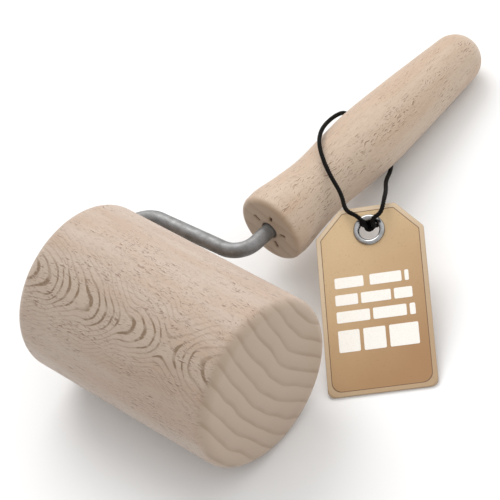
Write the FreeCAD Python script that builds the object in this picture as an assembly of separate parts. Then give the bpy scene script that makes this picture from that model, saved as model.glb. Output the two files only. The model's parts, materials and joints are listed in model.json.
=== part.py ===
"""One-handed pastry roller: a beech roller on a bent steel wire, with a turned beech handle and a hang tag.

The tool is designed flat, in its own frame: X along the roller's axis, Y from that axis to the handle, Z up.
It is then laid down as it rests on a table, on the roller and the tip of the handle, with the floor at Z = 0.
"""
import FreeCAD, Part
import math
import os

from FreeCAD import Placement, Rotation, Vector

# ---- driving dimensions, in millimetres and degrees ----
roller_radius = 28.0
roller_length = 80.0
roller_edge_radius = 4.0
roller_solid_end = 12.0

wire_radius = 2.5
wire_bend_radius = 7.7
arm_clearance = 1.9
rail_offset_at_arm = 35.2
rail_offset_at_handle = 37.3
axle_end_from_near_face = 15.0
tang_depth = 46.0
ear_stand_out = 0.8
ear_height = 6.0
ear_thickness = 1.6
ears_from_tang_end = 8.0

sleeve_radius = 5.0
running_clearance = 0.05
flange_radius = 8.3
flange_thickness = 1.6
flange_recess = 3.4
flange_seat_clearance = 0.1
sleeve_end_from_near_face = 22.0
washer_thickness = 0.8
washer_radius = 4.4
groove_depth = 0.5
ring_thickness = 1.0
ring_radius = 4.3
ring_gap_width = 3.0

handle_start = 51.2
handle_length = 106.3
handle_dome_radius = 8.9
handle_edge_radius = 2.0
handle_end_taper = 4.3
# Distance from the butt, then radius there.
handle_outline = [
    (2.0, 12.3),
    (5.5, 12.42),
    (14.5, 11.3),
    (25.0, 10.55),
    (37.0, 11.15),
    (50.0, 11.7),
    (66.0, 11.05),
    (82.0, 10.03),
]
nick_count = 5
nick_circle_radius = 5.6
nick_length = 1.9
nick_width = 0.7
nick_depth = 0.9
nick_turn = -20.0

tag_half_width = 17.3
tag_top = -7.9
tag_shoulder = 1.0
tag_bottom = 53.2
tag_top_half_width = 8.9
tag_thickness = 0.8
tag_corner_radius = 1.0
tag_bottom_corner_radius = 2.2
tag_heading = 39.0
tag_slope = 21.0
eyelet_x = 27.54
eyelet_y = 3.61

eyelet_hole_radius = 3.3
eyelet_barrel_radius = 3.7
eyelet_flange_radius = 5.1
eyelet_flange_height = 0.8
eyelet_washer_radius = 4.9
eyelet_washer_thickness = 0.5

cord_radius = 0.75
knot_radii = (3.9, 2.2, 2.0)
knot_centre = (0.0, -3.0, -3.7)

# The loop starts at the knot behind the tag, rises through the eyelet, goes over the handle
# and comes back under it.
cord_route = [
    (24.9, 4.9, 18.1),
    (25.8, 3.8, 21.7),
    (23.4, 3.9, 24.1),
    (19.2, 3.3, 24.6),
    (15.0, 7.3, 26.0),
    (8.8, 10.2, 28.2),
    (3.5, 13.4, 29.7),
    (-1.8, 17.7, 30.4),
    (-6.1, 22.8, 28.6),
    (-9.7, 29.0, 25.3),
    (-12.1, 36.5, 21.1),
    (-13.9, 42.3, 16.0),
    (-12.4, 43.8, 8.8),
    (-7.8, 43.8, 3.2),
    (-2.7, 44.2, 1.0),
    (1.5, 43.0, 1.0),
    (6.8, 36.7, 3.2),
    (13.1, 27.9, 10.4),
    (20.7, 20.6, 17.9),
    (25.4, 15.9, 23.3),
    (28.3, 12.0, 25.4),
    (29.9, 8.4, 24.5),
    (28.2, 5.9, 23.6),
    (27.6, 5.5, 21.2),
    (26.8, 6.5, 18.1),
]

# ---- values worked out from them ----
overcut = 1.0
near_face_x = roller_length / 2
far_face_x = -roller_length / 2
arm_x = far_face_x - arm_clearance - wire_radius
tang_x = (arm_x - wire_radius + near_face_x) / 2
handle_end = handle_start + handle_length
dome_centre = handle_end - handle_dome_radius
tilt = math.asin((roller_radius - handle_dome_radius) / dome_centre)
reach = dome_centre * math.cos(tilt) + handle_dome_radius
middle_y = (reach - roller_radius) / 2
X, Y, Z = Vector(1, 0, 0), Vector(0, 1, 0), Vector(0, 0, 1)


def laid_down(shape):
    """The tool's frame moved to where it rests: tipped about the roller's axis, centred over the origin."""
    shape.rotate(Vector(0, 0, 0), X, -math.degrees(tilt))
    shape.translate(Vector(-tang_x, -middle_y, roller_radius))
    return shape


def rod(radius, start_x, end_x):
    return Part.makeCylinder(radius, end_x - start_x, Vector(start_x, 0, 0), X)


def wire_arc(shorter_run, half_turn):
    return wire_bend_radius


def largest_arc(shorter_run, half_turn):
    """The radius whose arc takes up 0.45 of the shorter run."""
    return 0.45 * shorter_run / math.tan(half_turn)


def rounded_path(points, radius_of):
    """Straight runs joined by tangent arcs, whose radius comes from the shorter run and half the turn."""
    points = [Vector(*p) for p in points]
    edges, radii, last = [], [], points[0]
    for i in range(1, len(points) - 1):
        back, ahead = points[i - 1] - points[i], points[i + 1] - points[i]
        shorter = min(back.Length, ahead.Length)
        half_turn = (math.pi - back.getAngle(ahead)) / 2
        radius = radius_of(shorter, half_turn)
        back.normalize()
        ahead.normalize()
        setback = radius * math.tan(half_turn)
        start, end = points[i] + back * setback, points[i] + ahead * setback
        inward = (back + ahead).normalize()
        middle = points[i] + inward * (radius / math.cos(half_turn) - radius)
        edges += [Part.LineSegment(last, start).toShape(), Part.Arc(start, middle, end).toShape()]
        radii.append(radius)
        last = end
    edges.append(Part.LineSegment(last, points[-1]).toShape())
    return Part.Wire(edges), radii


def tube(path, radius):
    """A round solid of this radius along a path, with its ends square to it."""
    first = path.Edges[0]
    start, direction = first.valueAt(first.FirstParameter), first.tangentAt(first.FirstParameter)
    profile = Part.Wire([Part.makeCircle(radius, start, direction)])
    solid = path.makePipeShell([profile], True, True)
    return solid if solid.Volume > 0 else solid.reversed()


def turned(outline, centre, axis):
    """The solid swept by a closed outline about an axis through centre."""
    return Part.Face(Part.Wire(outline)).revolve(centre, axis, 360)


# ---- wire frame: axle, arm, rail and tang bent from one rod ----
def make_wire_frame():
    axle_end = near_face_x - axle_end_from_near_face
    corners = [
        (axle_end, 0, 0),
        (arm_x, 0, 0),
        (arm_x, rail_offset_at_arm, 0),
        (tang_x, rail_offset_at_handle, 0),
        (tang_x, handle_start + tang_depth, 0),
    ]
    path, _ = rounded_path(corners, wire_arc)
    wire = tube(path, wire_radius)
    ring_start = sleeve_end_x() + running_clearance + washer_thickness + running_clearance
    core = wire_radius - groove_depth
    ring_end = ring_start + ring_thickness
    groove = rod(wire_radius + overcut, ring_start, ring_end + running_clearance)
    groove = groove.cut(rod(core, ring_start - overcut, ring_end + overcut))
    # Two ears pressed out of the tang keep the handle from turning on it.
    ear_span = 2 * (wire_radius + ear_stand_out)
    ear_start = handle_start + tang_depth - ears_from_tang_end - ear_height
    ears = Part.makeBox(ear_span, ear_height, ear_thickness,
                        Vector(tang_x - ear_span / 2, ear_start, -ear_thickness / 2))
    return wire.cut(groove).fuse(ears).removeSplitter()


# ---- roller and what it turns on ----
def sleeve_end_x():
    return near_face_x - sleeve_end_from_near_face


def make_roller():
    body = rod(roller_radius, far_face_x, near_face_x)
    rims = [e for e in body.Edges if len(e.Vertexes) == 1]
    body = body.makeFillet(roller_edge_radius, rims)
    bore = rod(sleeve_radius, far_face_x - overcut, near_face_x - roller_solid_end)
    flange_seat = far_face_x + flange_recess + flange_thickness
    return body.cut(bore).cut(rod(flange_radius + flange_seat_clearance, far_face_x - overcut, flange_seat))


def make_sleeve():
    outer_face = far_face_x + flange_recess
    sleeve = rod(sleeve_radius, outer_face, sleeve_end_x()).fuse(
        rod(flange_radius, outer_face, outer_face + flange_thickness))
    bore = rod(wire_radius + running_clearance, outer_face - overcut, sleeve_end_x() + overcut)
    return sleeve.cut(bore).removeSplitter()


def make_thrust_washer():
    start = sleeve_end_x() + running_clearance
    end = start + washer_thickness
    hole = rod(wire_radius + running_clearance, start - overcut, end + overcut)
    return rod(washer_radius, start, end).cut(hole)


def make_retaining_ring():
    start = sleeve_end_x() + 2 * running_clearance + washer_thickness
    end = start + ring_thickness
    core = wire_radius - groove_depth
    ring = rod(ring_radius, start, end).cut(rod(core, start - overcut, end + overcut))
    gap = Part.makeBox(ring_thickness + 2 * overcut, ring_radius + overcut, ring_gap_width,
                       Vector(start - overcut, 0, -ring_gap_width / 2))
    return ring.cut(gap)


# ---- handle ----
def make_handle(wire_frame):
    end_taper = math.radians(handle_end_taper)
    shoulder_s = handle_length - handle_dome_radius + handle_dome_radius * math.sin(end_taper)
    shoulder_r = handle_dome_radius * math.cos(end_taper)

    def at(s, r):
        return Vector(tang_x + r, handle_start + s, 0)

    edge_s, edge_r = handle_outline[0]
    corner = handle_edge_radius * (1 - math.sqrt(0.5))
    side = Part.BSplineCurve()
    side.interpolate(Points=[at(*p) for p in handle_outline] + [at(shoulder_s, shoulder_r)],
                     InitialTangent=Vector(0, 1, 0),
                     FinalTangent=Vector(-math.sin(end_taper), math.cos(end_taper), 0))
    half_way = (math.pi / 2 + end_taper) / 2
    dome_middle = at(handle_length - handle_dome_radius * (1 - math.cos(half_way)),
                     handle_dome_radius * math.sin(half_way))
    butt_rim = at(0, edge_r - handle_edge_radius)
    outline = [
        Part.LineSegment(at(0, 0), butt_rim).toShape(),
        Part.Arc(butt_rim, at(corner, edge_r - corner), at(edge_s, edge_r)).toShape(),
        side.toShape(),
        Part.Arc(at(shoulder_s, shoulder_r), dome_middle, at(handle_length, 0)).toShape(),
        Part.LineSegment(at(handle_length, 0), at(0, 0)).toShape(),
    ]
    handle = turned(outline, Vector(tang_x, 0, 0), Y)
    if handle.Volume < 0:
        handle = handle.reversed()
    for number in range(nick_count):
        handle = handle.cut(drive_nick(nick_turn + 360 / nick_count * number))
    return handle.cut(wire_frame)


def drive_nick(angle):
    """The chisel mark that one prong of the lathe's drive centre leaves in the butt of the handle."""
    half = nick_width / 2
    start = -nick_length / 2
    corners = [Vector(start, -overcut, -half), Vector(start, -overcut, half), Vector(start, nick_depth, 0)]
    nick = Part.Face(Part.makePolygon(corners + corners[:1])).extrude(Vector(nick_length, 0, 0))
    nick.translate(Vector(nick_circle_radius, 0, 0))
    nick.rotate(Vector(0, 0, 0), Y, angle)
    nick.translate(Vector(tang_x, handle_start, 0))
    return nick


# ---- hang tag, in its own frame: origin at the eyelet, X across, Y down the card, Z out of its back ----
def hung(shape):
    """The tag's frame moved to where it leans, with its bottom edge on the floor."""
    heading, slope = math.radians(tag_heading), math.radians(tag_slope)
    across = Vector(math.cos(heading), math.sin(heading), 0)
    down = Vector(math.sin(heading) * math.cos(slope), -math.cos(heading) * math.cos(slope), -math.sin(slope))
    height = tag_bottom * math.sin(slope) + tag_thickness * math.cos(slope)
    leaning = Placement(Vector(eyelet_x, eyelet_y, height), Rotation(across, down, across.cross(down), "XYZ"))
    shape.Placement = leaning.multiply(shape.Placement)
    return shape


def above_card(height, across=0.0, down=0.0):
    """The point this high above the card's front face. The tag's own Z points out of its back."""
    return Vector(across, down, -height)


def tag_disc(radius, low, high):
    """A disc on the eyelet's axis between two heights above the card's front face."""
    return Part.makeCylinder(radius, high - low, above_card(high), Z)


def make_tag():
    right = [(tag_top_half_width, tag_top), (tag_half_width, tag_shoulder), (tag_half_width, tag_bottom)]
    left = [(-x, y) for x, y in reversed(right)]
    corners = [Vector(x, y, 0) for x, y in right + left]
    card = Part.Face(Part.makePolygon(corners + corners[:1])).extrude(Vector(0, 0, tag_thickness))
    upright = [e for e in card.Edges if e.BoundBox.ZLength > tag_thickness / 2]
    bottom = [e for e in upright if e.BoundBox.YMin > tag_shoulder + overcut]
    card = card.makeFillet(tag_bottom_corner_radius, bottom)
    others = [e for e in card.Edges
              if e.BoundBox.ZLength > tag_thickness / 2 and e.BoundBox.YMax < tag_shoulder + overcut]
    card = card.makeFillet(tag_corner_radius, others)
    return card.cut(tag_disc(eyelet_barrel_radius, -tag_thickness - overcut, overcut))


def make_eyelet():
    flange_middle = (eyelet_hole_radius + eyelet_flange_radius) / 2
    outline = [
        Part.Arc(Vector(eyelet_hole_radius, 0, 0), above_card(eyelet_flange_height, flange_middle),
                 Vector(eyelet_flange_radius, 0, 0)).toShape(),
        Part.LineSegment(Vector(eyelet_flange_radius, 0, 0), Vector(eyelet_hole_radius, 0, 0)).toShape(),
    ]
    flange = turned(outline, Vector(0, 0, 0), Z)
    if flange.Volume < 0:
        flange = flange.reversed()
    barrel_end = -tag_thickness - eyelet_washer_thickness
    barrel = tag_disc(eyelet_barrel_radius, barrel_end, 0)
    barrel = barrel.cut(tag_disc(eyelet_hole_radius, barrel_end - overcut, overcut))
    return flange.fuse(barrel).removeSplitter()


def make_eyelet_washer():
    low = -tag_thickness - eyelet_washer_thickness
    hole = tag_disc(eyelet_barrel_radius, low - overcut, overcut)
    return tag_disc(eyelet_washer_radius, low, -tag_thickness).cut(hole)


def make_knot():
    knot = Part.makeSphere(1.0)
    scale = FreeCAD.Matrix()
    scale.scale(Vector(*knot_radii))
    knot = knot.transformGeometry(scale)
    across, down, height = knot_centre
    knot.translate(above_card(height, across, down))
    return knot


def make_cord():
    path, radii = rounded_path(cord_route, largest_arc)
    cord = tube(path, cord_radius)
    swept_volume = math.pi * cord_radius ** 2 * path.Length
    print("cord: length", round(path.Length, 1), "volume ratio", round(cord.Volume / swept_volume, 4))
    print("cord: arc radii", [round(r, 1) for r in radii])
    return cord


def main():
    wire_frame = make_wire_frame()
    nodes = {
        "handle": laid_down(make_handle(wire_frame)),
        "wire_frame": laid_down(wire_frame),
        "roller": laid_down(make_roller()),
        "axle_sleeve": laid_down(make_sleeve()),
        "thrust_washer": laid_down(make_thrust_washer()),
        "retaining_ring": laid_down(make_retaining_ring()),
        "hang_tag": hung(make_tag()),
        "eyelet": hung(make_eyelet()),
        "eyelet_washer": hung(make_eyelet_washer()),
        "cord_knot": hung(make_knot()),
        "cord_loop": make_cord(),
    }
    nodes["cord_knot"] = nodes["cord_knot"].cut(nodes["cord_loop"])
    os.makedirs("parts", exist_ok=True)
    for name, shape in nodes.items():
        box = shape.BoundBox
        print(name, len(shape.Solids), "solid, valid", shape.isValid(), "volume", round(shape.Volume, 1),
              "low", [round(v, 2) for v in (box.XMin, box.YMin, box.ZMin)],
              "high", [round(v, 2) for v in (box.XMax, box.YMax, box.ZMax)])
        shape.exportStep("parts/" + name + ".step")


main()
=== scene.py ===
import json
import math

import bmesh
import bpy
from mathutils import Matrix, Vector


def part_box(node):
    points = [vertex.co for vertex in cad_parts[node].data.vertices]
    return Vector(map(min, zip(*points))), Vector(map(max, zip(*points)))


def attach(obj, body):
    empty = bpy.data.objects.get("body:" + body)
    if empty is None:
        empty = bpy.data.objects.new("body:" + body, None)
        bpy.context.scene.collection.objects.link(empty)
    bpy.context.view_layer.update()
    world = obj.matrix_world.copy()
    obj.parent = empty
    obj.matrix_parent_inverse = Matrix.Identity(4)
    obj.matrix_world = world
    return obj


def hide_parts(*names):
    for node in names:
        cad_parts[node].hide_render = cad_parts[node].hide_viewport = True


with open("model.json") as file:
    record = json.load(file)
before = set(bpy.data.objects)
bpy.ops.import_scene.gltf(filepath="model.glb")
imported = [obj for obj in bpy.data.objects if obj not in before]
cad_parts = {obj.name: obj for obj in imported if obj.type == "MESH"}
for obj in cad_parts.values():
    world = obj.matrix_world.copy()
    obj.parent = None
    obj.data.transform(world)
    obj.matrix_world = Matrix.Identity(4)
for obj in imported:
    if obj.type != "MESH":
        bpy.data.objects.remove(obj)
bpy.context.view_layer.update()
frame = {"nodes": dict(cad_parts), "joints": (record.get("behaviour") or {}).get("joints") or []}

# One-handed beech pastry roller on a bent steel wire, with a turned beech handle and a hang tag on a black
# cord. Everything is in metres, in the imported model's frame, except in the materials, which work in
# millimetres.
mm = 0.001
joints = {joint["name"]: joint for joint in frame["joints"]}
X_AXIS, Z_AXIS = Vector((1, 0, 0)), Vector((0, 0, 1))


def local_frame(origin, x_axis, y_axis):
    """The matrix of a right-handed frame with its X and Y along these directions."""
    x_axis, y_axis = x_axis.normalized(), y_axis.normalized()
    z_axis = x_axis.cross(y_axis)
    matrix = Matrix((x_axis, y_axis, z_axis)).transposed().to_4x4()
    matrix.translation = origin
    return matrix


# ---- where the CAD puts things ----
roller_low, roller_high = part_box("roller")
roller_radius = (roller_high[2] - roller_low[2]) / 2
roller_half_length = (roller_high[0] - roller_low[0]) / 2
roller_axis_y = joints["roller_spin"]["pos_m"][1]
roller_centre = Vector((roller_low[0] + roller_half_length, roller_axis_y, roller_radius))
roller_frame = Matrix.Translation(roller_centre)

handle_axis = Vector(joints["cord_swing"]["axis"])
butt_centre = Vector(joints["cord_swing"]["pos_m"])
handle_frame = local_frame(butt_centre, handle_axis, handle_axis.cross(X_AXIS))

eyelet_centre = Vector(joints["tag_swing"]["pos_m"])
tag_front = Vector(joints["tag_swing"]["axis"])
tag_across = Z_AXIS.cross(tag_front)
tag_frame = local_frame(eyelet_centre, tag_across, tag_front.cross(tag_across))

knot_low, knot_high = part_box("cord_knot")
knot_centre = (Vector(knot_low) + Vector(knot_high)) / 2


# ---- camera ----
camera_place = Vector((0.38031, -0.27861, 0.53549))
camera_aim = Vector((-0.0051, -0.0196, 0.0150))
camera_roll = math.radians(20.8)
camera_lens, camera_sensor = 155.9, 36


def looking_from(place, aim):
    """The matrix of a camera or lamp at this place that points at aim."""
    return Matrix.Translation(place) @ (aim - place).to_track_quat("-Z", "Y").to_matrix().to_4x4()


def add_camera():
    data = bpy.data.cameras.new("camera")
    data.lens = camera_lens
    data.sensor_width = camera_sensor
    data.clip_end = 20
    camera = bpy.data.objects.new("camera", data)
    camera.matrix_world = looking_from(camera_place, camera_aim) @ Matrix.Rotation(-camera_roll, 4, "Z")
    bpy.context.scene.collection.objects.link(camera)
    bpy.context.scene.camera = camera


# ---- light and floor ----
key_place, key_aim = Vector((-0.75, 0.45, 1.0)), Vector((0, 0, 0.02))
key_size, key_watts = 1.0, 9
brightest_side = Vector((0.15, 0.75, 0.65)).normalized()
dim_side_strength, bright_side_strength, backdrop_strength = 0.42, 1.20, 0.93
# The light grows between these two cosines of the angle to the brightest side.
dimmest_cosine, brightest_cosine = -0.7, 0.9
floor_reach = 3.0


def add_key_light():
    data = bpy.data.lights.new("key", "AREA")
    data.shape = "DISK"
    data.size = key_size
    data.energy = key_watts
    light = bpy.data.objects.new("key", data)
    light.matrix_world = looking_from(key_place, key_aim)
    bpy.context.scene.collection.objects.link(light)


def add_floor():
    bm = bmesh.new()
    bmesh.ops.create_grid(bm, x_segments=1, y_segments=1, size=floor_reach)
    floor = add_piece("floor", bm)
    surface = Surface("floor")
    grain = surface.noise(surface.place_mm, 0.02)
    pale = surface.mix(grain, (0.84, 0.84, 0.84), (0.87, 0.87, 0.865))
    floor.data.materials.append(surface.principled(pale, roughness=0.7))


def add_studio():
    scene = bpy.context.scene
    scene.view_settings.view_transform = "Standard"
    scene.world = studio_world()
    add_key_light()
    add_floor()


def studio_world():
    """Soft light from all round, brightest from above and behind the object and dimmest from in front."""
    world = bpy.data.worlds.new("studio")
    world.use_nodes = True
    tree = world.node_tree
    background = tree.nodes["Background"]
    background.inputs["Color"].default_value = (1, 1, 1, 1)
    coordinates = tree.nodes.new("ShaderNodeTexCoord")
    towards_bright = tree.nodes.new("ShaderNodeVectorMath")
    towards_bright.operation = "DOT_PRODUCT"
    towards_bright.inputs[1].default_value = brightest_side
    tree.links.new(coordinates.outputs["Generated"], towards_bright.inputs[0])
    brightness = tree.nodes.new("ShaderNodeMapRange")
    brightness.inputs["From Min"].default_value = dimmest_cosine
    brightness.inputs["From Max"].default_value = brightest_cosine
    brightness.inputs["To Min"].default_value = dim_side_strength
    brightness.inputs["To Max"].default_value = bright_side_strength
    tree.links.new(towards_bright.outputs["Value"], brightness.inputs["Value"])
    # What the camera sees past the floor is plain and pale.
    path = tree.nodes.new("ShaderNodeLightPath")
    seen = tree.nodes.new("ShaderNodeMix")
    unseen_strength, seen_strength, strength = seen.inputs[2], seen.inputs[3], seen.outputs[0]
    seen_strength.default_value = backdrop_strength
    tree.links.new(path.outputs["Is Camera Ray"], seen.inputs["Factor"])
    tree.links.new(brightness.outputs["Result"], unseen_strength)
    tree.links.new(strength, background.inputs["Strength"])
    return world


def add_piece(name, bm, own_frame=None, smooth=True):
    """A new object from a bmesh drawn in its own frame. Its points end up in the model's frame."""
    mesh = bpy.data.meshes.new(name)
    if own_frame is not None:
        bm.transform(own_frame)
    bmesh.ops.recalc_face_normals(bm, faces=bm.faces)
    bm.to_mesh(mesh)
    bm.free()
    for polygon in mesh.polygons:
        polygon.use_smooth = smooth
    piece = bpy.data.objects.new(name, mesh)
    bpy.context.scene.collection.objects.link(piece)
    return piece


# ---- procedural materials ----
class Field:
    """A value that varies over a surface: a shader node's output, which sums and products can be made of."""

    def __init__(self, surface, socket):
        self.surface, self.socket = surface, socket

    def math(self, operation, *others):
        return self.surface.math(operation, self, *others)

    def __add__(self, other):
        return self.math("ADD", other)

    __radd__ = __add__

    def __sub__(self, other):
        return self.math("SUBTRACT", other)

    def __rsub__(self, other):
        return self.surface.math("SUBTRACT", other, self)

    def __mul__(self, other):
        return self.math("MULTIPLY", other)

    def __truediv__(self, other):
        return self.math("DIVIDE", other)

    def __pow__(self, other):
        return self.math("POWER", other)

    def __abs__(self):
        return self.math("ABSOLUTE")

    def sine(self):
        return self.math("SINE")

    def cosine(self):
        return self.math("COSINE")

    def ramp(self, low, high):
        """0 at low, 1 at high, smooth between them."""
        node = self.surface.node("ShaderNodeMapRange", interpolation_type="SMOOTHSTEP")
        self.surface.join(self, node.inputs["Value"])
        node.inputs["From Min"].default_value = low
        node.inputs["From Max"].default_value = high
        return Field(self.surface, node.outputs["Result"])


class Surface:
    """A material whose colour, roughness and height are Fields over the piece's own coordinates in mm."""

    def __init__(self, name, own_frame=Matrix.Identity(4)):
        self.material = bpy.data.materials.new(name)
        self.material.use_nodes = True
        self.tree = self.material.node_tree
        self.shader = self.tree.nodes["Principled BSDF"]
        coordinates = self.node("ShaderNodeTexCoord")
        own = self.node("ShaderNodeMapping", vector_type="TEXTURE")
        own.inputs["Location"].default_value = own_frame.translation
        own.inputs["Rotation"].default_value = own_frame.to_euler()
        own.inputs["Scale"].default_value = (mm, mm, mm)
        self.tree.links.new(coordinates.outputs["Object"], own.inputs["Vector"])
        self.place_mm = Field(self, own.outputs["Vector"])
        parts = self.node("ShaderNodeSeparateXYZ")
        self.join(self.place_mm, parts.inputs[0])
        self.x, self.y, self.z = (Field(self, output) for output in parts.outputs)

    def node(self, kind, **settings):
        node = self.tree.nodes.new(kind)
        for name, value in settings.items():
            setattr(node, name, value)
        return node

    def join(self, value, socket):
        if isinstance(value, Field):
            self.tree.links.new(value.socket, socket)
        elif isinstance(value, tuple) and len(value) == 3 and len(socket.default_value) == 4:
            socket.default_value = (*value, 1)
        else:
            socket.default_value = value

    def math(self, operation, *values):
        node = self.node("ShaderNodeMath", operation=operation)
        for value, socket in zip(values, node.inputs):
            self.join(value, socket)
        return Field(self, node.outputs[0])

    def vector(self, x, y, z):
        node = self.node("ShaderNodeCombineXYZ")
        for value, socket in zip((x, y, z), node.inputs):
            self.join(value, socket)
        return Field(self, node.outputs[0])

    def noise(self, place, scale, detail=2.0, roughness=0.5):
        """Cloudy noise from 0 to 1, with this many blobs per unit of place."""
        node = self.node("ShaderNodeTexNoise")
        self.join(place, node.inputs["Vector"])
        node.inputs["Scale"].default_value = scale
        node.inputs["Detail"].default_value = detail
        node.inputs["Roughness"].default_value = roughness
        return Field(self, node.outputs["Fac"])

    def cells(self, place):
        """(distance to the nearest cell's centre, that cell's random number) for cells one unit apart."""
        node = self.node("ShaderNodeTexVoronoi", feature="F1")
        self.join(place, node.inputs["Vector"])
        node.inputs["Scale"].default_value = 1
        split = self.node("ShaderNodeSeparateColor")
        self.tree.links.new(node.outputs["Color"], split.inputs[0])
        return Field(self, node.outputs["Distance"]), Field(self, split.outputs[0])

    def mix(self, factor, first, second, blend="MIX"):
        """The first colour where factor is 0 and the second where it is 1."""
        node = self.node("ShaderNodeMix", data_type="RGBA", blend_type=blend)
        first_colour, second_colour, mixed = node.inputs[6], node.inputs[7], node.outputs[2]
        self.join(factor, node.inputs["Factor"])
        self.join(first, first_colour)
        self.join(second, second_colour)
        return Field(self, mixed)

    def principled(self, colour, roughness, height=None, height_mm=0.0, **uniform):
        """The finished material. uniform holds plain values for other sockets, named as those are."""
        self.join(colour, self.shader.inputs["Base Color"])
        self.join(roughness, self.shader.inputs["Roughness"])
        for name, value in uniform.items():
            self.join(value, self.shader.inputs[name.replace("_", " ").title().replace("Ior", "IOR")])
        if height is not None:
            bump = self.node("ShaderNodeBump")
            bump.inputs["Distance"].default_value = height_mm * mm
            self.join(height, bump.inputs["Height"])
            self.tree.links.new(bump.outputs["Normal"], self.shader.inputs["Normal"])
        return self.material


# ---- beech ----
pale_beech = (0.560, 0.460, 0.385)
pink_beech = (0.520, 0.390, 0.305)
band_tan = (0.330, 0.250, 0.145)
arc_brown = (0.235, 0.155, 0.092)
fleck_brown = (0.205, 0.115, 0.070)
ring_brown = (0.285, 0.195, 0.125)
# Painted highlight, beside each dark ray fleck.
fleck_highlight = (0.80, 0.70, 0.60)
end_beech = (0.485, 0.385, 0.302)
# Painted shade, for the handle's recesses.
recess_shade_brown = (0.130, 0.070, 0.040)


def growth_rings(wood, girth, ring_height, ring_flare):
    """Growth rings cut lengthwise: nested arcs in a band where girth is near 0, and long lines beside it.

    Gives (1 inside the band, 1 on the rings' lines)."""
    arc_half_width, arc_sharpness = 5.0, 2.6
    ragged = wood.noise(wood.vector(wood.x, wood.y * 1.6, wood.z * 1.6), 0.8, detail=3) - 0.5
    aside = girth + (wood.noise(wood.place_mm, 0.05, detail=1) - 0.5) * 6.0
    opening = ((abs(aside) / arc_half_width) ** arc_sharpness + 1.0) ** (1 / arc_sharpness) - 1.0
    depth = opening * ring_flare(wood.x) + aside * 0.03 + ring_height(wood.x) + ragged * 0.16
    line = (depth * (2 * math.pi)).cosine().ramp(0.38, 0.98)
    in_band = 1.0 - abs(aside).ramp(3.0, 7.5)
    beside = (1.0 - abs(aside).ramp(8.0, 22.0)) * 0.30
    patches = wood.noise(wood.vector(wood.x, wood.y * 0.8, wood.z * 0.8), 0.26, detail=1).ramp(0.38, 0.58)
    broken = wood.noise(wood.vector(wood.x * 0.5, wood.y, wood.z), 0.55, detail=2).ramp(0.34, 0.50)
    return in_band, line * (in_band * (patches * 0.75 + 0.25) + beside) * (broken * 0.6 + 0.4)


# Length of a ray fleck, distance from the next one beside it, and how many of them are left out.
fleck_sizes = [(0.9, 0.36, 0.20), (1.6, 0.46, 0.30), (2.6, 0.60, 0.38), (3.9, 0.75, 0.50)]


def ray_flecks(wood, girth, colour):
    """Short dark dashes that gather in patches, a painted highlight beside each: (colour, 1 on a dark dash).
    """
    swaying = girth + wood.noise(wood.place_mm, 0.30, detail=1) * 2.0
    crowd = wood.noise(wood.vector(wood.x * 0.4, wood.y, wood.z), 0.20, detail=2).ramp(0.36, 0.62)
    flecks = 0.0
    for length, gap, rarity in fleck_sizes:
        dark, chance = wood.cells(wood.vector(wood.x / length, swaying / gap, length))
        flecks = flecks + (1.0 - dark.ramp(0.12, 0.45)) * chance.ramp(rarity, 0.95)
        # A painted highlight: a pale dash just beside each dark one.
        pale, highlight_chance = wood.cells(wood.vector(wood.x / length, (swaying + gap * 0.3) / gap, length))
        highlight_dash = (1.0 - pale.ramp(0.10, 0.40)) * highlight_chance.ramp(rarity, 0.95)
        colour = wood.mix(highlight_dash * (crowd * 0.48 + 0.14), colour, fleck_highlight)
    flecks = flecks.math("MINIMUM", 1.0)
    return wood.mix(flecks * (crowd * 0.62 + 0.24), colour, fleck_brown), flecks


def end_grain(wood, end_shade, end_line):
    """(colour, height) of wood cut across: rings about a pith outside the piece, and fine pores."""
    pith_y, pith_z = 68.0, 26.0
    ring_spacing, line_end = 5.0, 0.90
    from_pith = ((wood.y - pith_y) ** 2.0 + (wood.z - pith_z) ** 2.0) ** 0.5
    waver = (wood.noise(wood.place_mm, 0.06, detail=1) - 0.5) * 3.6
    phase = ((from_pith + waver) / ring_spacing).math("FRACT")
    cut_off = 1.0 - phase.ramp(line_end, 1.0)
    late_wood = phase.ramp(0.05, line_end) * cut_off
    thin_line = phase.ramp(0.60, line_end) * cut_off
    uneven = wood.noise(wood.place_mm, 0.12, detail=2).ramp(0.3, 0.7) * 0.5 + 0.5
    pores = wood.noise(wood.place_mm, 2.6, detail=3, roughness=0.7)
    shade = late_wood * 0.20 + thin_line * uneven * end_line + (pores - 0.5) * 0.4 + end_shade
    return wood.mix(shade, end_beech, ring_brown), pores * 0.4 - thin_line * 0.4


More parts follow.
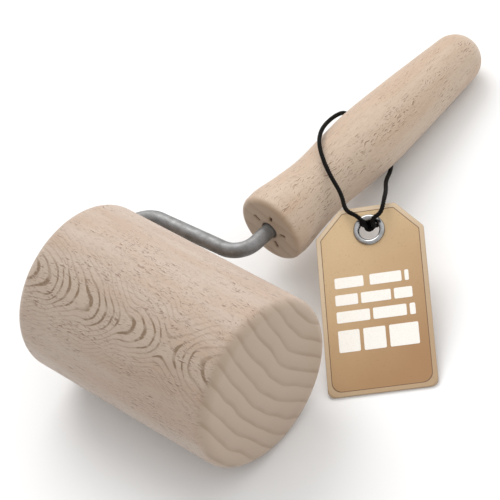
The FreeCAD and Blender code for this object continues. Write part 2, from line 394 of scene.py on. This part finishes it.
def beech(name, own_frame, radius_mm, figure_angle, ring_height, ring_flare, figure_strength, tint,
          end_mask, end_shade, end_line, recess_shade_mask=None):
    """Beech turned about the piece's X axis.

    The growth rings' band runs along X, at figure_angle about X from +Y towards +Z. Where end_mask(x) is 1
    the wood is cut across its grain, darker by end_shade and with ring lines as strong as end_line. It is
    darkened with painted shade in recesses, where the last mask, given x and the distance from the axis, is
    1.
    """
    wood = Surface(name, own_frame)
    turn_cos, turn_sin = math.cos(figure_angle), math.sin(figure_angle)
    towards = wood.y * turn_cos + wood.z * turn_sin
    across = wood.z * turn_cos - wood.y * turn_sin
    girth = wood.math("ARCTAN2", across, towards) * radius_mm

    drift = wood.noise(wood.vector(wood.x * 0.16, wood.y, wood.z), 0.11, detail=3)
    colour = wood.mix(drift.ramp(0.38, 0.64), pale_beech, pink_beech)
    in_band, lines = growth_rings(wood, girth, ring_height, ring_flare)
    lines = lines * figure_strength
    colour = wood.mix(in_band * (figure_strength * 0.10), colour, band_tan)
    colour = wood.mix(lines, colour, arc_brown)
    fibre = wood.noise(wood.vector(wood.x * 0.06, wood.y, wood.z), 1.9, detail=4, roughness=0.65)
    colour = wood.mix((fibre - 0.5) * 0.5 + 0.10, colour, ring_brown)
    colour, flecks = ray_flecks(wood, girth, colour)
    height = fibre * 0.35 - flecks * 0.6 - lines * 0.3

    on_end = end_mask(wood.x)
    end_colour, end_height = end_grain(wood, end_shade, end_line)
    colour = wood.mix(on_end, colour, end_colour)
    height = height * (1.0 - on_end) + on_end * end_height
    # Painted shade in the recesses that the mask picks out.
    if recess_shade_mask is not None:
        from_axis = (wood.y ** 2.0 + wood.z ** 2.0) ** 0.5
        colour = wood.mix(recess_shade_mask(wood.x, from_axis), colour, recess_shade_brown)
    colour = wood.mix(1.0, colour, tint, "MULTIPLY")
    return wood.principled(colour, roughness=fibre * 0.2 + 0.48, height=height, height_mm=0.10,
                           specular_ior_level=0.4, sheen_weight=0.22, sheen_roughness=0.55)


# The arcs open towards one end up to this place along the roller, and towards the other past it.
figure_turn = 20.5


def roller_ring_height(along):
    """Ring height along the band: a long uneven rise up to figure_turn, then a fall."""
    rise = ((along - figure_turn) ** 2.0 + 9.0) ** 0.5 * -0.27
    return rise + (along * 0.31 + 1.2).sine() * 0.38 + (along * 0.75 + 0.4).sine() * 0.11


def roller_ring_flare(along):
    """How fast the arcs trail off sideways: less fast past figure_turn."""
    return 3.4 - along.ramp(figure_turn - 4.0, figure_turn + 4.0) * 1.2


def handle_ring_height(along):
    """Ring height along the band: a slow wave."""
    return along * 0.03 + (along * 0.11).sine() * 0.4


def handle_ring_flare(along):
    """The arcs trail off alike all along the handle."""
    return 4.0


def roller_ends(along):
    """1 on the two flat ends, fading out over the rounded rims."""
    half = roller_half_length / mm
    return abs(along).ramp(half - 2.8, half - 0.9)


def handle_ends(along):
    """1 on the butt, fading out over its rounded rim."""
    return 1.0 - along.ramp(-0.1, 1.5)


def handle_recess_shade(along, from_axis):
    """1 down in the drive centre's marks and round the rod's hole: painted shade in these recesses."""
    in_marks = along.ramp(0.10, 0.80) * (1.0 - from_axis.ramp(7.8, 8.6))
    round_hole = 1.0 - from_axis.ramp(2.8, 3.5)
    by_butt = 1.0 - along.ramp(20.0, 30.0)
    return (in_marks + round_hole * 0.7).math("MINIMUM", 0.85) * by_butt


# ---- other materials ----
def steel(name, shade, roughness, scratch=1.0):
    """Bare metal, as bright as shade, a little cloudy and scuffed along X."""
    metal = Surface(name)
    cloud = metal.noise(metal.place_mm, 0.35, detail=4)
    drawn_out = metal.vector(metal.x * 0.3, metal.y * 2.2, metal.z * 2.2)
    scuff = metal.noise(drawn_out, 1.6, detail=4, roughness=0.7)
    bright = tuple(shade * k for k in (1.0, 0.995, 1.0))
    dull = tuple(shade * 0.70 * k for k in (1.0, 0.99, 0.97))
    colour = metal.mix((cloud + scuff * 0.6).ramp(0.55, 1.05), bright, dull)
    return metal.principled(colour, roughness=scuff * 0.22 + cloud * 0.16 + (roughness - 0.19),
                            height=scuff, height_mm=0.02 * scratch, metallic=1.0)


def nylon(name):
    plastic = Surface(name)
    speck = plastic.noise(plastic.place_mm, 1.4, detail=4, roughness=0.7)
    colour = plastic.mix(speck, (0.72, 0.70, 0.64), (0.80, 0.78, 0.73))
    return plastic.principled(colour, roughness=speck * 0.2 + 0.35, height=speck, height_mm=0.015)


yarn_black = (0.0026, 0.0023, 0.0020)
yarn_worn = (0.019, 0.013, 0.008)
fibre_brown = (0.30, 0.18, 0.09)
speck_brown = (0.22, 0.13, 0.07)


def card_stock(name, top_left, bottom_right):
    """Kraft board with fibres and specks, and painted shade deepening from the top left to the bottom right.
    """
    card = Surface(name, tag_frame)
    # Painted shade: lighter at the top left, darker towards the bottom right.
    painted_shade_slope = (card.x * 0.75 - card.y * 0.9 + 4.0) / 52.0
    cloud = card.noise(card.place_mm, 0.06, detail=3)
    colour = card.mix((painted_shade_slope + (cloud - 0.5) * 0.35).ramp(-0.25, 1.15), top_left, bottom_right)
    fibre = card.noise(card.vector(card.x * 0.7, card.y * 2.4, card.z), 1.1, detail=5, roughness=0.7)
    speck, chance = card.cells(card.place_mm)
    on_speck = (1.0 - speck.ramp(0.10, 0.30)) * chance.ramp(0.6, 0.9)
    colour = card.mix((fibre - 0.42) * 0.38, colour, fibre_brown)
    colour = card.mix(on_speck * 0.25, colour, speck_brown)
    return card.principled(colour, roughness=fibre * 0.2 + 0.50, height=fibre, height_mm=0.03,
                           sheen_weight=0.05)


def printed(name, colour, darker, roughness):
    """Ink, laid on a little unevenly."""
    ink = Surface(name)
    patch = ink.noise(ink.place_mm, 1.8, detail=4, roughness=0.7)
    patchy = ink.mix(patch.ramp(0.35, 0.8), colour, darker)
    return ink.principled(patchy, roughness=patch * 0.2 + roughness, height=patch, height_mm=0.02)


def waxed_cotton(name):
    yarn = Surface(name)
    fuzz = yarn.noise(yarn.place_mm, 3.2, detail=4, roughness=0.7)
    worn = yarn.noise(yarn.place_mm, 0.7, detail=2)
    colour = yarn.mix((fuzz * 0.6 + worn * 0.4).ramp(0.50, 0.72), yarn_black, yarn_worn)
    return yarn.principled(colour, roughness=fuzz * 0.25 + 0.45, height=fuzz, height_mm=0.06,
                           specular_ior_level=0.10)


# ---- turned pieces ----
on_the_axis = 0.0001 * mm


def lathe(profile, segments, dent=None):
    """A surface of revolution about X from (distance along X, radius) points. dent moves a point along X."""
    bm = bmesh.new()
    rings = []
    for along, radius in profile:
        if radius < on_the_axis:
            rings.append([bm.verts.new((along, 0, 0))])
            continue
        ring = []
        for k in range(segments):
            angle = 2 * math.pi * k / segments
            shift = dent(along, radius, angle) if dent else 0.0
            ring.append(bm.verts.new((along + shift, radius * math.cos(angle), radius * math.sin(angle))))
        rings.append(ring)
    for first, second in zip(rings, rings[1:]):
        for k in range(segments):
            n = (k + 1) % segments
            corners = [first[k % len(first)], first[n % len(first)]]
            corners += [second[n % len(second)], second[k % len(second)]]
            bm.faces.new(list(dict.fromkeys(corners)))
    return bm


def arc(centre, radius, start, end, steps):
    """Points of a profile round a centre, angles in degrees from +X towards +radius."""
    points = []
    for k in range(steps + 1):
        angle = math.radians(start + (end - start) * k / steps)
        points.append((centre[0] + radius * math.cos(angle), centre[1] + radius * math.sin(angle)))
    return points


def spread(start, end, count):
    """count points after start, evenly spaced up to end."""
    return [tuple(a + (b - a) * k / count for a, b in zip(start, end)) for k in range(1, count + 1)]


roller_edge_radius = 4.0 * mm
bore_radius, bore_end = 5.0 * mm, 12.0 * mm
seat_radius, seat_depth, seat_chamfer = 8.4 * mm, 5.0 * mm, 0.3 * mm


def add_roller(material):
    """The roller: its blind bore, the seat for the sleeve's flange at the far end, then the outside."""
    edge, half, radius = roller_edge_radius, roller_half_length, roller_radius
    seat_x = -half + seat_depth
    profile = [(half - bore_end, 0.0), (half - bore_end, bore_radius)]
    profile += spread(profile[-1], (seat_x, bore_radius), 12)
    profile += spread(profile[-1], (seat_x, seat_radius), 3)
    profile += spread(profile[-1], (-half + seat_chamfer, seat_radius), 4)
    profile += spread(profile[-1], (-half, seat_radius + seat_chamfer), 2)
    profile += spread(profile[-1], (-half, radius - edge), 16)
    profile += arc((-half + edge, radius - edge), edge, 180, 90, 14)[1:]
    profile += spread(profile[-1], (half - edge, radius), 60)
    profile += arc((half - edge, radius - edge), edge, 90, 0, 14)[1:]
    profile += spread(profile[-1], (half, 0.0), 22)
    piece = add_piece("beech_roller", lathe(profile, segments=240), roller_frame)
    piece.data.materials.append(material)
    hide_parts("roller")
    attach(piece, "roller")


handle_length = 106.3 * mm
dome_radius, dome_start_angle = 8.9 * mm, 85.7
butt_edge_radius = 2.0 * mm
rod_hole_radius, rod_hole_mouth, rod_hole_depth, rod_hole_chamfer = 2.62 * mm, 2.95 * mm, 40 * mm, 1.2 * mm
# Distance from the butt, then radius, in mm.
handle_outline = [(2.0, 12.3), (5.5, 12.42), (14.5, 11.3), (25.0, 10.55), (37.0, 11.15), (50.0, 11.7),
                  (66.0, 11.05), (82.0, 10.03), (98.07, 8.875)]
nick_count, nick_circle, nick_turn = 5, 5.6 * mm, -20.0
nick_half_length, nick_half_width, nick_depth = 1.05 * mm, 0.68 * mm, 1.5 * mm
# A nick's ends slope up to the butt between these two multiples of its half length.
nick_full, nick_gone = 0.90, 1.25


def smooth_outline(points, per_run):
    """Points on a curve through the given ones, with the slope at each from its neighbours."""
    slopes = []
    for i in range(len(points)):
        before, after = points[max(i - 1, 0)], points[min(i + 1, len(points) - 1)]
        slopes.append((after[1] - before[1]) / (after[0] - before[0]))
    slopes[0] = 0.0
    result = [points[0]]
    for (x0, r0), (x1, r1), s0, s1 in zip(points, points[1:], slopes, slopes[1:]):
        run = x1 - x0
        for k in range(1, per_run + 1):
            t = k / per_run
            rise = (2 * t ** 3 - 3 * t ** 2 + 1) * r0 + (t ** 3 - 2 * t ** 2 + t) * run * s0
            rise += (3 * t ** 2 - 2 * t ** 3) * r1 + (t ** 3 - t ** 2) * run * s1
            result.append((x0 + run * t, rise))
    return result


def drive_nick(along, radius, angle):
    """How far the chisel marks of the lathe's drive centre push this point of the butt in."""
    on_the_butt = along < 0.2 * mm and radius < nick_circle + 3 * nick_half_length
    if not on_the_butt:
        return 0.0
    deepest = 0.0
    for number in range(nick_count):
        nick_angle = math.radians(nick_turn + 360 / nick_count * number)
        turn = (angle - nick_angle + math.pi) % (2 * math.pi) - math.pi
        outward = abs(radius * math.cos(turn) - nick_circle) / nick_half_length
        sideways = abs(radius * math.sin(turn)) / nick_half_width
        if outward < nick_gone and sideways < 1:
            end_fade = min(1.0, (nick_gone - outward) / (nick_gone - nick_full))
            deepest = max(deepest, nick_depth * (1 - sideways) * end_fade)
    return deepest


def add_handle(material):
    """The handle: the rod's hole, the butt, the turned outline and the domed tip."""
    edge = butt_edge_radius
    butt_radius = handle_outline[0][1] * mm
    profile = [(rod_hole_depth, 0.0), (rod_hole_depth, rod_hole_radius)]
    profile += spread(profile[-1], (rod_hole_chamfer, rod_hole_radius), 10)
    profile += spread(profile[-1], (0.0, rod_hole_mouth), 4)
    profile += spread(profile[-1], (0.0, nick_circle + 2 * nick_half_length), 26)
    profile += spread(profile[-1], (0.0, butt_radius - edge), 6)
    profile += arc((edge, butt_radius - edge), edge, 180, 90, 10)[1:]
    profile += [(x * mm, r * mm) for x, r in smooth_outline(handle_outline, 12)][1:]
    dome = (handle_length - dome_radius, 0.0)
    profile += arc(dome, dome_radius, dome_start_angle, 0, 26)[1:-1] + [(handle_length, 0.0)]
    piece = add_piece("beech_handle", lathe(profile, segments=288, dent=drive_nick), handle_frame)
    piece.data.materials.append(material)
    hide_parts("handle")
    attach(piece, "frame_and_handle")


# ---- hang tag ----
tag_half_width, tag_top_half_width = 17.3 * mm, 8.9 * mm
tag_top, tag_shoulder, tag_bottom = 7.9 * mm, -1.0 * mm, -53.2 * mm
tag_thickness, tag_bevel = 0.8 * mm, 0.12 * mm
tag_bottom_corner, tag_corner, printed_corner_extra = 2.2 * mm, 1.0 * mm, 1.0 * mm
barrel_radius = 3.7 * mm
line_inset, line_width = 1.40 * mm, 0.26 * mm
print_height, print_sunk, bar_corner = 0.05 * mm, 0.01 * mm, 0.45 * mm
corner_steps = 8
# Rows of plain bars, in mm from the eyelet: middle height, half height, then where each bar starts and ends.
print_rows = [
    (-16.5, 1.75, [(-12.4, -3.2), (-1.2, 8.9), (9.9, 11.2)]),
    (-22.1, 1.75, [(-12.6, -5.4), (-4.4, 5.1), (6.1, 11.9)]),
    (-27.7, 1.85, [(-12.6, -2.0), (-1.0, 9.6), (10.6, 12.4)]),
    (-35.6, 3.55, [(-12.6, -5.8), (-4.6, 2.4), (3.6, 12.8)]),
]


def tag_outline(inset):
    """The card's outline, drawn in by this much, as (x, y) points with rounded corners."""
    slant = math.atan2(tag_top - tag_shoulder, tag_half_width - tag_top_half_width)
    side = tag_half_width - inset
    shoulder = tag_shoulder - inset * math.tan((math.pi / 2 - slant) / 2)
    top = tag_top - inset
    top_half = tag_top_half_width - inset * math.tan(slant / 2)
    corners = [(side, tag_bottom + inset), (side, shoulder), (top_half, top),
               (-top_half, top), (-side, shoulder), (-side, tag_bottom + inset)]
    bottom_corner = tag_bottom_corner + (printed_corner_extra if inset else 0.0)
    radii = [bottom_corner, *[tag_corner] * 4, bottom_corner]
    points = []
    for i, (corner, radius) in enumerate(zip(corners, radii)):
        here, before, after = (Vector(corners[j % len(corners)]) for j in (i, i - 1, i + 1))
        back, ahead = (before - here).normalized(), (after - here).normalized()
        half_turn = (math.pi - back.angle(ahead)) / 2
        centre = here + (back + ahead).normalized() * radius / math.cos(half_turn)
        start, end = here + back * radius * math.tan(half_turn), here + ahead * radius * math.tan(half_turn)
        for k in range(corner_steps + 1):
            spoke = (start - centre).slerp(end - centre, k / corner_steps)
            points.append(tuple(centre + spoke.normalized() * radius))
    return points


def add_ring(bm, first, second, material):
    """Quads between two loops of as many points."""
    for k in range(len(first)):
        n = (k + 1) % len(first)
        bm.faces.new((first[k], first[n], second[n], second[k])).material_index = material


def add_bar(bm, left, right, middle, half_height, material):
    """One thin bar of print with rounded corners, standing a hair above the card."""
    low_x, high_x = left + bar_corner, right - bar_corner
    low_y, high_y = middle - half_height + bar_corner, middle + half_height - bar_corner
    corners = [(high_x, high_y), (low_x, high_y), (low_x, low_y), (high_x, low_y)]
    outline = []
    for quarter, corner in enumerate(corners):
        outline += arc(corner, bar_corner, quarter * 90, quarter * 90 + 90, 5)
    low = [bm.verts.new((x, y, -print_sunk)) for x, y in outline]
    high = [bm.verts.new((x, y, print_height)) for x, y in outline]
    bm.faces.new(high).material_index = material
    bm.faces.new(low[::-1]).material_index = material
    add_ring(bm, low, high, material)


def fill_between(bm, outer, inner, material):
    """Flat faces between a loop of points and the hole inside it."""
    edges = []
    for loop in (outer, inner):
        for k in range(len(loop)):
            pair = (loop[k], loop[(k + 1) % len(loop)])
            edges.append(bm.edges.get(pair) or bm.edges.new(pair))
    filled = bmesh.ops.triangle_fill(bm, use_beauty=True, use_dissolve=False, edges=edges)
    for face in filled["geom"]:
        if isinstance(face, bmesh.types.BMFace):
            face.material_index = material


def add_tag(card, band, line, white, edge):
    """The card: cut edge, pale band and printed line round the front, the eyelet's hole, and the bars."""
    bm = bmesh.new()
    card_index, band_index, line_index, white_index, edge_index = range(5)
    # How far each loop round the card is drawn in, and its height.
    loop_places = [(0.0, -tag_thickness + tag_bevel), (0.0, -tag_bevel), (tag_bevel, 0.0),
                   (line_inset, 0.0), (line_inset + line_width, 0.0)]
    loops = []
    for inset, height in loop_places:
        loops.append([bm.verts.new((x, y, height)) for x, y in tag_outline(inset)])
    ring_materials = (edge_index, edge_index, band_index, line_index)
    for first, second, index in zip(loops, loops[1:], ring_materials):
        add_ring(bm, first, second, index)
    back_rim = [bm.verts.new((x, y, -tag_thickness)) for x, y in tag_outline(tag_bevel)]
    add_ring(bm, back_rim, loops[0], edge_index)

    hole = arc((0.0, 0.0), barrel_radius, 0, 360, 64)[:-1]
    front_hole = [bm.verts.new((x, y, 0.0)) for x, y in hole]
    back_hole = [bm.verts.new((x, y, -tag_thickness)) for x, y in hole]
    add_ring(bm, front_hole, back_hole, edge_index)
    fill_between(bm, loops[-1], front_hole, card_index)
    fill_between(bm, back_rim, back_hole, card_index)

    for middle, half_height, bars in print_rows:
        for left, right in bars:
            add_bar(bm, left * mm, right * mm, middle * mm, half_height * mm, white_index)
    piece = add_piece("card_tag", bm, tag_frame, smooth=False)
    for material in (card, band, line, white, edge):
        piece.data.materials.append(material)
    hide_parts("hang_tag")
    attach(piece, "tag")
    return piece


eyelet_hole_radius, eyelet_flange_radius, eyelet_roll_height = 3.3 * mm, 5.1 * mm, 0.8 * mm
eyelet_washer_thickness = 0.5 * mm
eyelet_roll_steps = 16


def add_eyelet(material):
    """A rolled metal ring set in the card, turned about the tag's own normal."""
    hole, flange = eyelet_hole_radius, eyelet_flange_radius
    middle, half = (hole + flange) / 2, (flange - hole) / 2
    low = -tag_thickness - eyelet_washer_thickness
    profile = [(low, barrel_radius), (low, hole)] + spread((low, hole), (0.0, hole), 6)
    for k in range(1, eyelet_roll_steps + 1):
        angle = math.pi * (1 - k / eyelet_roll_steps)
        profile.append((eyelet_roll_height * math.sin(angle), middle + half * math.cos(angle)))
    profile += spread(profile[-1], (0.0, barrel_radius), 3)
    profile += spread(profile[-1], (low, barrel_radius), 4)
    bm = lathe(profile, segments=96)
    bmesh.ops.remove_doubles(bm, verts=bm.verts, dist=0.001 * mm)
    turned = tag_frame @ Matrix.Rotation(-math.pi / 2, 4, "Y")
    piece = add_piece("ring_eyelet", bm, turned)
    piece.data.materials.append(material)
    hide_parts("eyelet")
    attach(piece, "tag")
    return piece


# ---- cord ----
cord_diameter = 1.5 * mm
# The loop starts at the knot behind the tag, comes up through the eyelet, goes over the handle and comes
# back under it and down through the eyelet. In mm.
cord_route = [
    (24.9, 4.9, 18.1),
    (25.8, 3.8, 21.7),
    (23.4, 3.9, 24.1),
    (19.2, 3.3, 24.6),
    (15.0, 7.3, 26.0),
    (8.8, 10.2, 28.2),
    (3.5, 13.4, 29.7),
    (-1.8, 17.7, 30.4),
    (-6.1, 22.8, 28.6),
    (-9.7, 29.0, 25.3),
    (-12.1, 36.5, 21.1),
    (-13.9, 42.3, 16.0),
    (-12.4, 43.8, 8.8),
    (-7.8, 43.8, 3.2),
    (-2.7, 44.2, 1.0),
    (1.5, 43.0, 1.0),
    (6.8, 36.7, 3.2),
    (13.1, 27.9, 10.4),
    (20.7, 20.6, 17.9),
    (25.4, 15.9, 23.3),
    (28.3, 12.0, 25.4),
    (29.9, 8.4, 24.5),
    (28.2, 5.9, 23.6),
    (27.6, 5.5, 21.2),
    (26.8, 6.5, 18.1),
]


def spline_points(route_mm, resolution):
    """Points read from a smooth NURBS curve over the route."""
    data = bpy.data.curves.new("route", "CURVE")
    data.dimensions = "3D"
    data.resolution_u = resolution
    spline = data.splines.new("NURBS")
    spline.points.add(len(route_mm) - 1)
    for point, place in zip(spline.points, route_mm):
        point.co = (*(Vector(place) * mm), 1)
    spline.order_u = 3
    spline.use_endpoint_u = True
    curve = bpy.data.objects.new("route", data)
    mesh = bpy.data.meshes.new_from_object(curve)
    points = [v.co.copy() for v in mesh.vertices]
    bpy.data.objects.remove(curve)
    bpy.data.meshes.remove(mesh)
    bpy.data.curves.remove(data)
    return points


def even_points(points, step):
    """The line's points again, this far apart."""
    result, left = [points[0]], step
    for first, second in zip(points, points[1:]):
        run = (second - first).length
        while left <= run:
            result.append(first.lerp(second, left / run))
            left += step
        left -= run
    return result


def carried_frames(points):
    """(point, sideways, upward) along a line, turning no more than the line does."""
    frames, sideways = [], None
    for i, point in enumerate(points):
        before, after = points[max(i - 1, 0)], points[min(i + 1, len(points) - 1)]
        ahead = (after - before).normalized()
        if sideways is None:
            sideways = ahead.orthogonal()
        sideways = (sideways - ahead * sideways.dot(ahead)).normalized()
        frames.append((point, sideways, ahead.cross(sideways)))
    return frames


def add_tube(bm, centres, radius, sides):
    """A round tube along a line of points."""
    rings = []
    for point, sideways, upward in carried_frames(centres):
        ring = []
        for k in range(sides):
            angle = 2 * math.pi * k / sides
            spoke = math.cos(angle) * sideways + math.sin(angle) * upward
            ring.append(bm.verts.new(point + radius * spoke))
        rings.append(ring)
    for first, second in zip(rings, rings[1:]):
        add_ring(bm, first, second, 0)
    bm.faces.new(rings[0][::-1])
    bm.faces.new(rings[-1])


strand_count, strand_pitch = 3, 2.9 * mm
strand_radius = cord_diameter * 0.27


def add_strands(bm, points):
    """Yarns laid up round a line, which together are as thick as the cord."""
    offset = cord_diameter / 2 - strand_radius
    travel = [0.0]
    for first, second in zip(points, points[1:]):
        travel.append(travel[-1] + (second - first).length)
    frames = carried_frames(points)
    for number in range(strand_count):
        centres = []
        for (point, sideways, upward), distance in zip(frames, travel):
            angle = 2 * math.pi * (distance / strand_pitch + number / strand_count)
            centres.append(point + offset * (math.cos(angle) * sideways + math.sin(angle) * upward))
        add_tube(bm, centres, strand_radius, sides=8)


# Half the knot's length, and how much of it each direction has. A trefoil's own x and y reach 3, its z 1.
knot_reach = 3.9 * mm - cord_diameter / 2
knot_squeeze = Vector((1 / 3, 0.50 / 3, 0.294))
knot_steps = 150


def knot_line():
    """An overhand knot drawn tight, in the space of its CAD solid: a trefoil pressed flat."""
    points = []
    for k in range(knot_steps + 1):
        t = 2 * math.pi * k / knot_steps
        trefoil = (math.sin(t) + 2 * math.sin(2 * t), math.cos(t) - 2 * math.cos(2 * t), -math.sin(3 * t))
        points.append(Vector(trefoil) * knot_squeeze * knot_reach)
    return points


def add_cord(material):
    """The loop and its knot, as one free cord that ties the tag's pieces to the handle."""
    route = even_points(spline_points(cord_route, resolution=14), 0.3 * mm)
    bm = bmesh.new()
    add_strands(bm, route)
    cord = add_piece("black_cord", bm)
    cord.data.materials.append(material)
    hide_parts("cord_loop")
    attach(cord, "tag_cord")

    bm = bmesh.new()
    add_strands(bm, knot_line())
    knot_frame = tag_frame.copy()
    knot_frame.translation = knot_centre
    knot = add_piece("overhand_knot", bm, knot_frame)
    knot.data.materials.append(material)
    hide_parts("cord_knot")
    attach(knot, "tag_cord")


def finish_node(name, material):
    """Gives a CAD node its material."""
    node = frame["nodes"][name]
    node.data.materials.clear()
    node.data.materials.append(material)
    return node


# ---- the object ----
add_camera()
add_studio()

roller_beech = beech(
    "roller_beech", roller_frame, radius_mm=roller_radius / mm, figure_angle=math.radians(121),
    ring_height=roller_ring_height, ring_flare=roller_ring_flare, figure_strength=1.0,
    tint=(0.875, 0.845, 0.810), end_mask=roller_ends, end_shade=0.03, end_line=0.38)
handle_beech = beech(
    "handle_beech", handle_frame, radius_mm=11.0, figure_angle=math.radians(70),
    ring_height=handle_ring_height, ring_flare=handle_ring_flare, figure_strength=0.16,
    tint=(0.965, 0.920, 0.835), end_mask=handle_ends, end_shade=0.19, end_line=0.08, recess_shade_mask=handle_recess_shade)
add_roller(roller_beech)
add_handle(handle_beech)

finish_node("wire_frame", steel("drawn_steel", shade=0.30, roughness=0.56))
finish_node("retaining_ring", steel("spring_steel", shade=0.22, roughness=0.35))
finish_node("thrust_washer", steel("washer_steel", shade=0.5, roughness=0.3))
finish_node("axle_sleeve", nylon("white_nylon"))

tag = add_tag(card=card_stock("kraft_card", (0.62, 0.45, 0.255), (0.37, 0.20, 0.085)),
              band=card_stock("kraft_rim", (0.66, 0.52, 0.36), (0.45, 0.31, 0.18)),
              line=printed("brown_line", (0.16, 0.09, 0.045), (0.24, 0.14, 0.07), 0.5),
              white=printed("white_print", (0.93, 0.90, 0.84), (0.86, 0.82, 0.75), 0.4),
              edge=card_stock("cut_edge", (0.50, 0.37, 0.24), (0.40, 0.28, 0.17)))
eyelet_metal = steel("nickel", shade=0.40, roughness=0.19, scratch=0.3)
eyelet = add_eyelet(eyelet_metal)
eyelet_washer = finish_node("eyelet_washer", eyelet_metal)
add_cord(waxed_cotton("waxed_cord"))
